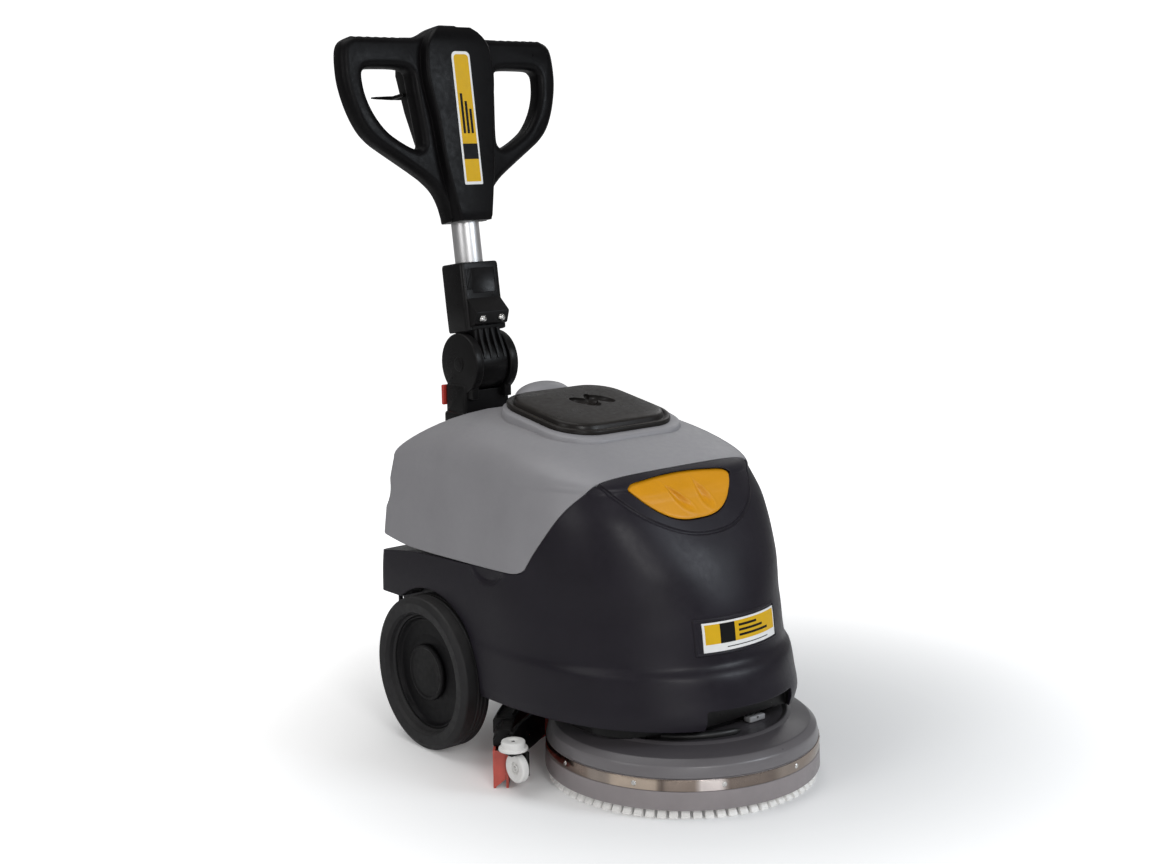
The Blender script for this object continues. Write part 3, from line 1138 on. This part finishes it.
# ------------------------------------------------------------------ handle column
bracket = keep(rod('x', (0, 0, 0), 0.0425, 0.0510, 80, 0.0025), "column_bracket_moulded", COL)
rings = []
for z, hx, y0, y1, r in ((0.0490, 0.0350, -0.0265, 0.0270, 0.006),
                         (0.0515, 0.0366, -0.0282, 0.0282, 0.007),
                         (0.0900, 0.0372, -0.0288, 0.0288, 0.008),
                         (0.1520, 0.0372, -0.0288, 0.0288, 0.008),
                         (0.1558, 0.0364, -0.0280, 0.0280, 0.008),
                         (0.1570, 0.0345, -0.0262, 0.0262, 0.007)):
    rings.append([(x, y, z) for x, y in rrect(-hx, hx, y0, y1, r, 5)])
adds = [keep(loft(rings), "c", COL),
        keep(block(-0.0250, 0.0250, -0.0300, 0.0240, 0.0, 0.0600, 0.002, 2), "c", COL),
        keep(block(-0.0280, 0.0365, -0.0310, 0.0235, 0.0494, 0.0620, 0.003, 2), "c", COL)]
# forward wedge: slopes out from the sleeve, then turns back under
side_line = fillet([(-0.0200, 0.1010), (-0.0282, 0.1010), (-0.0500, 0.0770, 0.004),
                    (-0.0415, 0.0590, 0.003), (-0.0200, 0.0540, 0.003)], 0.001, 4)
adds.append(keep(loft([[(x, y, z) for y, z in side_line] for x in (-0.0315, -0.0305, 0.0305, 0.0315)]),
                 "c", COL))
boolean(bracket, adds, 'UNION')
boolean(bracket, [keep(rod('x', (0, 0, 0), 0.0063, 0.10, 32), "c", COL),
                  keep(rod('z', (0, 0, 0.1230), 0.0223, 0.0700, 64), "c", COL),
                  keep(block(-0.0190, 0.0255, -0.0330, -0.0274, 0.1080, 0.1470, 0.0010, 2), "c", COL)])
put(bracket, "handle", M_BLACK, "bracket_black", "column_bracket")

ribs = []
for k, u in enumerate((-0.0195, -0.0066, 0.0066, 0.0195)):
    rings = []
    for z, y in ((0.0520, -0.0330), (0.0440, -0.0350), (0.0300, -0.0385), (0.0160, -0.0425),
                 (0.0040, -0.0440)):
        w = 0.0022
        f = 0.90 + 0.10 * (0.052 - z) / 0.048
        rings.append([(u * f - w, y, z), (u * f + w, y, z), (u * f + w, -0.0200, z),
                      (u * f - w, -0.0200, z)])
    ribs.append(loft(rings))
for k in range(4):
    u = -0.0290 + 0.0030 * k
    ribs.append(block(u - 0.0008, u + 0.0008, -0.0297, -0.0280, 0.1130, 0.1470, 0.0004, 2))
ob = joined(ribs, "bracket_ribs", COL)
put(ob, "handle", M_BLACK, "bracket_black")

for s, tag in ((-1, "left"), (1, "right")):
    head = lathe([(0.0, -0.0030), (0.0060, -0.0030), (0.0062, 0.0004), (0.0054, 0.0020),
                  (0.0036, 0.0032), (0.0026, 0.0035), (0.0022, 0.0016), (0.0, 0.0016)], 32, False)
    head.transform(Matrix.Translation((s * 0.018, -0.0462, 0.0675)) @ Matrix.Rotation(-0.35, 4, 'X')
                   @ AXIS['-y'])
    ob = keep(head, "bracket_bolt_domed_" + tag, COL)
    put(ob, "handle", M_BRIGHT, "bolt_steel_" + tag, "bracket_bolt_" + tag)

tube = keep(lathe(fillet([(0.0220, 0.2700), (0.0220, 0.0900), (0.0190, 0.0900), (0.0190, 0.2700)],
                         0.0008, 3), 96), "column_tube_drawn", COL)
put(tube, "handle", M_TUBE, "tube_aluminium", "column_tube")

# grip outline; shallow finger scallops are cut into the top edge afterwards
OUTER = [(0.038, 0.2215), (0.043, 0.245), (0.053, 0.268), (0.070, 0.286), (0.090, 0.3005),
         (0.116, 0.3175), (0.140, 0.333), (0.160, 0.347), (0.176, 0.364), (0.188, 0.386),
         (0.197, 0.412), (0.2025, 0.440), (0.203, 0.468), (0.200, 0.490), (0.193, 0.501),
         (0.182, 0.5065)]
TOP_EDGE = [(0.1775 - 0.0060 * k, 0.5082) for k in range(0, 16)]
CROWN = [(0.078, 0.5084), (0.066, 0.5092), (0.052, 0.5140), (0.034, 0.5228), (0.014, 0.5290)]
LOOP = ((0.084, 0.456), (0.100, 0.4605), (0.130, 0.461), (0.155, 0.460), (0.164, 0.456),
        (0.1675, 0.447), (0.1655, 0.424), (0.1585, 0.402), (0.1470, 0.3815), (0.1315, 0.3635),
        (0.112, 0.3500), (0.093, 0.3400), (0.080, 0.3365), (0.073, 0.342), (0.072, 0.355),
        (0.074, 0.380), (0.078, 0.420), (0.080, 0.445))


def turn_left(pts, want=True):
    area = sum(a[0] * b[1] - b[0] * a[1] for a, b in zip(pts, pts[1:] + pts[:1]))
    return pts if (area > 0) == want else list(reversed(pts))


def moved_in(pts, d):
    """Offset of an anticlockwise outline, inwards for a positive distance."""
    out = []
    for p, q, r in zip(pts[-1:] + pts[:-1], pts, pts[1:] + pts[:1]):
        e = [(q[0] - p[0], q[1] - p[1]), (r[0] - q[0], r[1] - q[1])]
        nrm = []
        for ex, ey in e:
            n = max(1e-9, sqrt(ex * ex + ey * ey))
            nrm.append((-ey / n, ex / n))
        mx, my = nrm[0][0] + nrm[1][0], nrm[0][1] + nrm[1][1]
        k = d * 2.0 / max(0.6, mx * mx + my * my)
        out.append((q[0] + mx * k, q[1] + my * k))
    return out


half = spline(OUTER, 5) + TOP_EDGE + spline(CROWN, 5)
half = [p for i, p in enumerate(half) if i == 0 or (p[1] > 0.2435 and abs(p[0] - half[i - 1][0])
                                                   + abs(p[1] - half[i - 1][1]) > 0.0004)]
outer = turn_left(half + [(-a, b) for a, b in reversed(half)])
loop = turn_left([p for p in spline(list(LOOP), 5, True)])

ROUND, DEPTH = 0.0125, 0.0175
rings, cuts = [], []
for k in range(-6, 7):
    q = min(1.0, max(-1.0, k / 6.0)) * pi / 2
    side = (1 if k > 0 else -1) * (DEPTH - ROUND)
    for t in ([side + ROUND * sin(q)] if k else [-side * 0 - (DEPTH - ROUND), DEPTH - ROUND]):
        rings.append([(a, -t, b) for a, b in moved_in(outer, ROUND * (1 - cos(q)))])
for t, d in ([(-DEPTH - 0.004, ROUND)]
             + [(-(DEPTH - ROUND) - ROUND * sin(pi / 2 * k / 6), ROUND * (1 - cos(pi / 2 * k / 6)))
                for k in range(6, -1, -1)]
             + [(DEPTH - ROUND + ROUND * sin(pi / 2 * k / 6), ROUND * (1 - cos(pi / 2 * k / 6)))
                for k in range(0, 7)]
             + [(DEPTH + 0.004, ROUND)]):
    cuts.append((t, d))
head = keep(loft(rings), "handle_head_moulded", COL)
for s in (-1, 1):
    rings = [[(s * a, -t, b) for a, b in moved_in(loop, -d)] for t, d in cuts]
    boolean(head, [keep(loft(rings), "c", COL)])


def front_ring(hw, y0, y1, z, r):
    return [(x, y, z) for x, y in rrect(-hw, hw, y0, y1, (r, r, 0.001, 0.001), 5)]


hw_at = monotone([0.2216, 0.2690, 0.3160, 0.3780, 0.4530, 0.4900, 0.5150, 0.5270],
                 [0.0310, 0.0400, 0.0480, 0.0535, 0.0640, 0.0600, 0.0430, 0.0280])
rings = []
for k in range(41):
    z = 0.2216 + (0.5225 - 0.2216) * k / 40
    drop = 0.0
    if z < 0.2275:
        drop = 0.0035 * (1 - sqrt(max(0.0, 1 - ((0.2275 - z) / 0.0062) ** 2)))
    if z > 0.500:
        drop = 0.0190 * (1 - sqrt(max(0.0, 1 - ((z - 0.500) / 0.0275) ** 2)))
    rings.append(front_ring(hw_at(z), -0.0360 + drop, 0.0, z, 0.0055))
front = keep(loft(rings), "c", COL)
rings = []
for z, hw, r in ((0.2216, 0.0300, 0.006), (0.2240, 0.0318, 0.008), (0.2700, 0.0370, 0.010),
                 (0.3100, 0.0480, 0.010), (0.3350, 0.0500, 0.010)):
    rings.append([(x, y, z) for x, y in rrect(-hw, hw, -0.0240, 0.0250, r, 5)])
boolean(head, [front, keep(loft(rings), "c", COL)], 'UNION')
boolean(head, [keep(rod('z', (0, 0, 0.2460), 0.0223, 0.0540, 64), "c", COL)]
        + [keep(rod('y', (s * (0.0960 + 0.0150 * k), 0.0, 0.5082 + 0.0113), 0.0130, 0.06, 48),
                "c", COL) for s in (-1, 1) for k in range(6)])
put(head, "handle", M_HANDLE, "handle_black", "handle_head")

# control box behind the head, rocker switches, drive lever
rings = []
for z, hw, y1, r in ((0.3380, 0.0380, 0.0420, 0.006), (0.3410, 0.0440, 0.0462, 0.008),
                     (0.3500, 0.0510, 0.0470, 0.009), (0.4000, 0.0640, 0.0470, 0.009),
                     (0.4580, 0.0735, 0.0470, 0.009), (0.4700, 0.0720, 0.0462, 0.008),
                     (0.4740, 0.0640, 0.0430, 0.006)):
    rings.append([(x, y, z) for x, y in rrect(-hw, hw, 0.0150, y1, (0.001, 0.001, r, r), 5)])
ctrl = keep(loft(rings), "control_box_moulded", COL)
boolean(ctrl, [keep(block(s * 0.030 - 0.0092, s * 0.030 + 0.0092, 0.0420, 0.060, 0.3755, 0.4005,
                          0.001, 2), "c", COL) for s in (-1, 1)])
put(ctrl, "handle", M_BLACK, "control_black", "control_box")
for s, tag in ((-1, "left"), (1, "right")):
    line = fillet([(0.0450, 0.3765), (0.0495, 0.3765, 0.0008), (0.0480, 0.3880, 0.006),
                   (0.0508, 0.3995, 0.0008), (0.0450, 0.3995)], 0.0004, 4)
    sw = keep(loft([[(s * 0.030 + x, y, z) for y, z in line]
                    for x in (-0.0085, -0.0080, 0.0080, 0.0085)]), "switch_rocker_" + tag, COL)
    put(sw, "switch_" + tag[0], M_SWITCH, "switch_" + tag, "switch_" + tag)

parts = []
rings = []
for k in range(25):
    x = -0.1120 + 0.2240 * k / 24
    thick = 0.0021 + 0.0011 * step(0.105, 0.075, abs(x))
    e = 1.0 if 0 < k < 24 else 0.6
    rings.append([(x, 0.0560 + 0.0024 * e * cos(q), 0.4260 + thick * e * sin(q))
                  for q in (2 * pi * i / 16 for i in range(16))])
parts.append(loft(rings))
for s in (-1, 1):
    x0, x1 = sorted((s * 0.0705, s * 0.0745))
    parts.append(block(x0, x1, 0.0260, 0.0560, 0.4230, 0.4290, 0.0014))
ob = joined(parts, "drive_lever_moulded", COL)
put(ob, "drive_bar", M_BLACK, "lever_black", "drive_lever")

# sticker on the front of the head: plain colour blocks
def sticker(name, hx, z0, z1, y0, y1, mat, r):
    ob = keep(loft([[(x, y, z) for x, z in rrect(-hx, hx, z0, z1, r, 5)] for y in (y1, y0)]),
              name, COL)
    return put(ob, "handle", mat, "sticker_yellow")


st = sticker("sticker_base", 0.0172, 0.2765, 0.4830, -0.0367, -0.0359, M_LABEL, (0.002, 0.002, 0.008, 0.008))
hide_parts("handle_sticker")
sticker("sticker_field", 0.0138, 0.2810, 0.4785, -0.0369, -0.0366, M_YELLOW,
        (0.001, 0.001, 0.006, 0.006))
sticker("sticker_block", 0.0138, 0.3160, 0.3400, -0.0371, -0.0368, M_INK, 0.0004)
for k in range(3):
    hx = 0.0022
    u = -0.0075 + 0.0075 * k
    ob = keep(loft([[(u + x, y, z) for x, z in rrect(-hx, hx, 0.3560, 0.4180 - 0.012 * k, 0.0006, 3)]
                    for y in (-0.0368, -0.0371)]), "sticker_bar_%d" % (k + 1), COL)
    put(ob, "handle", M_INK, "sticker_yellow")

# ------------------------------------------------------------------ studio
bm = bmesh.new()
prof = [(-4.0, 0.0)] + [(3.2 + 1.6 * sin(a), 1.6 - 1.6 * cos(a))
                        for a in (pi / 2 * k / 24 for k in range(25))] + [(4.8, 6.0)]
prof = [(y, z) for y, z in prof]
yaw = Matrix.Rotation(radians(-39.0), 4, 'Z')
a = [bm.verts.new((-7.0, y, z)) for y, z in prof]
b = [bm.verts.new((7.0, y, z)) for y, z in prof]
for i in range(len(prof) - 1):
    bm.faces.new((a[i], b[i], b[i + 1], a[i + 1]))
floor = keep(bm, "studio_floor", yaw)
fm = bpy.data.materials.new("studio_white")
fm.use_nodes = True
fb = fm.node_tree.nodes["Principled BSDF"]
fb.inputs["Base Color"].default_value = (0.90, 0.90, 0.90, 1)
fb.inputs["Roughness"].default_value = 0.9
fb.inputs["Specular IOR Level"].default_value = 0.1
fb.inputs["Emission Color"].default_value = (1, 1, 1, 1)
flp = fm.node_tree.nodes.new("ShaderNodeLightPath")
fmul = fm.node_tree.nodes.new("ShaderNodeMath")
fmul.operation = 'MULTIPLY'
fgeo = fm.node_tree.nodes.new("ShaderNodeNewGeometry")
flen = fm.node_tree.nodes.new("ShaderNodeVectorMath")
flen.operation = 'LENGTH'
ffar = fm.node_tree.nodes.new("ShaderNodeMapRange")
ffar.interpolation_type = 'SMOOTHSTEP'
ffar.inputs["From Min"].default_value = 0.20
ffar.inputs["From Max"].default_value = 1.15
ffar.inputs["To Min"].default_value = 0.02
ffar.inputs["To Max"].default_value = 0.80
foff = fm.node_tree.nodes.new("ShaderNodeVectorMath")
foff.operation = 'SUBTRACT'
foff.inputs[1].default_value = (0.135, -0.13, 0.0)
fm.node_tree.links.new(fgeo.outputs["Position"], foff.inputs[0])
fm.node_tree.links.new(foff.outputs["Vector"], flen.inputs[0])
fm.node_tree.links.new(flen.outputs["Value"], ffar.inputs["Value"])
fm.node_tree.links.new(ffar.outputs["Result"], fmul.inputs[1])
fm.node_tree.links.new(flp.outputs["Is Camera Ray"], fmul.inputs[0])
fm.node_tree.links.new(fmul.outputs["Value"], fb.inputs["Emission Strength"])
floor.data.materials.append(fm)

world = bpy.data.worlds.new("studio") if SCENE.world is None else SCENE.world
SCENE.world = world
world.use_nodes = True
bg = world.node_tree.nodes["Background"]
bg.inputs["Color"].default_value = (1, 1, 1, 1)
wlp = world.node_tree.nodes.new("ShaderNodeLightPath")
wmr = world.node_tree.nodes.new("ShaderNodeMapRange")
wmr.inputs["To Min"].default_value = 0.20
wmr.inputs["To Max"].default_value = 1.0
world.node_tree.links.new(wlp.outputs["Is Camera Ray"], wmr.inputs["Value"])
world.node_tree.links.new(wmr.outputs["Result"], bg.inputs["Strength"])


def lamp(name, loc, aim, size, power, rgb=(1, 1, 1)):
    d = bpy.data.lights.new(name, 'AREA')
    d.shape = 'RECTANGLE'
    d.size, d.size_y = size
    d.energy = power
    d.color = rgb
    o = bpy.data.objects.new(name, d)
    SCENE.collection.objects.link(o)
    o.location = loc
    o.rotation_mode = 'QUATERNION'
    o.rotation_quaternion = (Vector(aim) - Vector(loc)).to_track_quat('-Z', 'Y')
    return o


lamp("top_soft", (-0.45, 0.55, 3.1), (0, 0, 0.3), (2.2, 2.2), 29.5)
lamp("front_key", (-1.2, -2.8, 1.9), (0, 0, 0.45), (0.9, 0.9), 24)
lamp("left_fill", (-3.0, -0.2, 1.6), (0, 0, 0.4), (1.2, 1.4), 14.5)
lamp("low_front", (-1.5, -2.3, 0.45), (0, -0.3, 0.16), (1.3, 0.5), 4.5)
lamp("right_rim", (2.4, 1.2, 1.8), (0, 0, 0.5), (1.0, 1.2), 5)


def on_hull(x, z):
    return Vector((x, hull_front(x, z), z))


# one softbox sits where the front of the body mirrors it towards the camera
EYE = Vector((-1.5831, -1.908468 + Y_SHIFT, 0.8841))
spot = on_hull(-0.050, 0.324)
du = on_hull(-0.040, 0.324) - on_hull(-0.060, 0.324)
dv = on_hull(-0.050, 0.339) - on_hull(-0.050, 0.309)
nrm = du.cross(dv).normalized()
see = (EYE - spot).normalized()
if nrm.dot(see) < 0:
    nrm = -nrm
mirror = (2 * nrm.dot(see) * nrm - see).normalized()
lamp("front_softbox", ROW @ (spot + mirror * 2.3), ROW @ spot, (0.78, 0.78), 18, (0.86, 0.93, 1.0))

# ------------------------------------------------------------------ camera
A, E, RO = radians(-39.188), radians(9.615), radians(-0.963)
back = Vector((sin(A) * cos(E), -cos(A) * cos(E), sin(E)))
r = Vector((cos(A), sin(A), 0))
u = back.cross(r)
right = r * cos(RO) + u * sin(RO)
up = -r * sin(RO) + u * cos(RO)
cam_data = bpy.data.cameras.new("camera")
cam_data.sensor_fit = 'HORIZONTAL'
cam_data.sensor_width = 36.0
cam_data.lens = 53.33
cam_data.clip_start, cam_data.clip_end = 0.05, 50.0
cam = bpy.data.objects.new("camera", cam_data)
SCENE.collection.objects.link(cam)
cam.matrix_world = Matrix((
    (right.x, up.x, back.x, -1.5831),
    (right.y, up.y, back.y, -1.908468),
    (right.z, up.z, back.z, 0.8841),
    (0, 0, 0, 1)))
SCENE.camera = cam
SCENE.view_settings.view_transform = 'Standard'
SCENE.view_settings.look = 'None'
